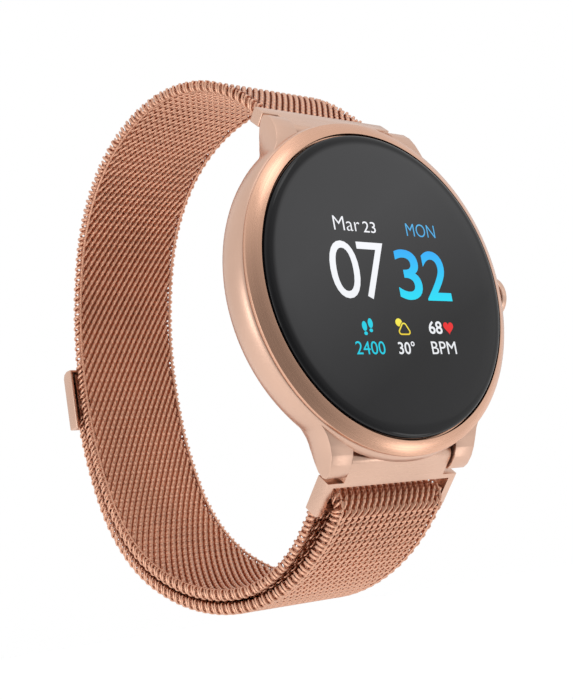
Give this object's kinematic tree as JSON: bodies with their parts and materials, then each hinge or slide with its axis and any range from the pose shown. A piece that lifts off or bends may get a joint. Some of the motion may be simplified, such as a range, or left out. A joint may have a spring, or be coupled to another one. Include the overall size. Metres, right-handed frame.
{
  "type": "smartwatch",
  "caption": "Round smartwatch on a closed loop of woven metal mesh with a fold-through slider frame, magnetic tail clasp and a side push button.",
  "frame": {"origin": "centre of the flat sensor window on the case back, where the watch touches the wrist", "axes": "+Y out of the case back towards the wrist, -Y out of the display, +Z to 12 o'clock, +X to 3 o'clock and the push button"},
  "size_m": [0.048, 0.0682, 0.0773],
  "materials": {
    "rose_gold_satin": "satin-brushed rose gold plating on stainless steel",
    "mesh_wire": "drawn and flattened rose gold plated wire",
    "cover_glass": "dark tinted domed cover glass",
    "black_plastic": "fine moulded black plastic",
    "steel": "bare stainless steel",
    "spring_steel": "spring wire",
    "rubber": "black silicone",
    "circuit_board": "green solder mask",
    "foil": "matt foil",
    "gold": "gold plated contact",
    "amber_film": "polyimide film",
    "magnet": "nickel plated magnet"
  },
  "bodies": {
    "case": {"case_body": "rose_gold_satin", "bezel_ring": "rose_gold_satin", "cover_glass": "cover_glass", "glass_adhesive": "black_plastic", "display_panel": "black_plastic", "display_flex": "amber_film", "display_bracket": "black_plastic", "main_board": "circuit_board", "shield_can": "foil", "battery": "foil", "vibration_motor": "steel", "tactile_switch": "black_plastic", "sensor_board": "circuit_board", "sensor_led_left": "cover_glass", "sensor_led_right": "cover_glass", "rear_cover": "rose_gold_satin", "sensor_window": "cover_glass", "rear_cover_seal": "rubber", "charge_pin_left": "gold", "charge_pin_right": "gold", "rear_screw_1": "steel", "rear_screw_2": "steel", "rear_screw_3": "steel", "rear_screw_4": "steel", "button_seal": "rubber", "button_spring": "spring_steel"},
    "button": {"button_cap": "rose_gold_satin", "button_clip": "spring_steel", "switch_plunger": "black_plastic"},
    "band_upper": {"top_end_bar": "rose_gold_satin", "spring_bar_tube_top": "steel", "spring_bar_coil_top": "spring_steel", "mesh_upper": "mesh_wire"},
    "band_back": {"mesh_back": "mesh_wire"},
    "band_lower": {"mesh_lower": "mesh_wire"},
    "slider": {"slider_frame": "rose_gold_satin", "spring_bar_tube_bottom": "steel", "spring_bar_coil_bottom": "spring_steel"},
    "tail_root": {"mesh_tail_root": "mesh_wire"},
    "tail_middle": {"mesh_tail_middle": "mesh_wire"},
    "tail_end": {"mesh_tail_end": "mesh_wire", "clasp_shell": "rose_gold_satin", "clasp_liner": "rose_gold_satin", "clasp_magnet": "magnet"},
    "pin_top_right": {"spring_bar_pin_top_right": "steel"},
    "pin_top_left": {"spring_bar_pin_top_left": "steel"},
    "pin_bottom_right": {"spring_bar_pin_bottom_right": "steel"},
    "pin_bottom_left": {"spring_bar_pin_bottom_left": "steel"}
  },
  "joints": [
    {"name": "button_press", "type": "slide", "parent": "case", "child": "button", "axis": [-1, 0, 0], "range_m": [0, 0.0004], "stiffness_N_per_m": 1200, "springref_m": -0.0003, "deforming": ["button_spring"]},
    {"name": "top_bar_pivot", "type": "hinge", "parent": "case", "child": "band_upper", "pos_m": [0, -0.00641, 0.02171], "axis": [1, 0, 0], "range_deg": [-6, 6]},
    {"name": "band_bend_upper", "type": "hinge", "parent": "band_upper", "child": "band_back", "pos_m": [0, 0.04841, 0.02265], "axis": [1, 0, 0], "range_deg": [-6, 6]},
    {"name": "band_bend_lower", "type": "hinge", "parent": "band_back", "child": "band_lower", "pos_m": [0, 0.0389, -0.03024], "axis": [1, 0, 0], "range_deg": [-6, 6]},
    {"name": "slider_pivot", "type": "hinge", "parent": "case", "child": "slider", "pos_m": [0, -0.00641, -0.02171], "axis": [1, 0, 0], "range_deg": [-7, 7]},
    {"name": "tail_peel", "type": "hinge", "parent": "band_lower", "child": "tail_root", "pos_m": [0, -0.00288, -0.0284], "axis": [-1, 0, 0], "range_deg": [0, 45]},
    {"name": "tail_bend_middle", "type": "hinge", "parent": "tail_root", "child": "tail_middle", "pos_m": [0, 0.01913, -0.03737], "axis": [-1, 0, 0], "range_deg": [0, 36]},
    {"name": "tail_bend_end", "type": "hinge", "parent": "tail_middle", "child": "tail_end", "pos_m": [0, 0.03985, -0.03189], "axis": [-1, 0, 0], "range_deg": [-6, 6]},
    {"name": "spring_bar_top_right", "type": "slide", "parent": "band_upper", "child": "pin_top_right", "axis": [-1, 0, 0], "range_m": [0, 0.0017], "stiffness_N_per_m": 250, "springref_m": -0.0006, "deforming": ["spring_bar_coil_top"]},
    {"name": "spring_bar_top_left", "type": "slide", "parent": "band_upper", "child": "pin_top_left", "axis": [1, 0, 0], "range_m": [0, 0.0017], "stiffness_N_per_m": 250, "springref_m": -0.0006, "deforming": ["spring_bar_coil_top"]},
    {"name": "spring_bar_bottom_right", "type": "slide", "parent": "slider", "child": "pin_bottom_right", "axis": [-1, 0, 0], "range_m": [0, 0.0017], "stiffness_N_per_m": 250, "springref_m": -0.0006, "deforming": ["spring_bar_coil_bottom"]},
    {"name": "spring_bar_bottom_left", "type": "slide", "parent": "slider", "child": "pin_bottom_left", "axis": [1, 0, 0], "range_m": [0, 0.0017], "stiffness_N_per_m": 250, "springref_m": -0.0006, "deforming": ["spring_bar_coil_bottom"]}
  ],
  "couplings": [
    {"joint": "band_bend_upper", "follows": "top_bar_pivot", "ratio": -0.79396},
    {"joint": "band_bend_lower", "follows": "top_bar_pivot", "ratio": 0.9606},
    {"joint": "slider_pivot", "follows": "top_bar_pivot", "ratio": 1.1666},
    {"joint": "tail_bend_middle", "follows": "tail_peel", "ratio": 0.8},
    {"joint": "tail_bend_end", "follows": "top_bar_pivot", "ratio": 0.9606}
  ]
}
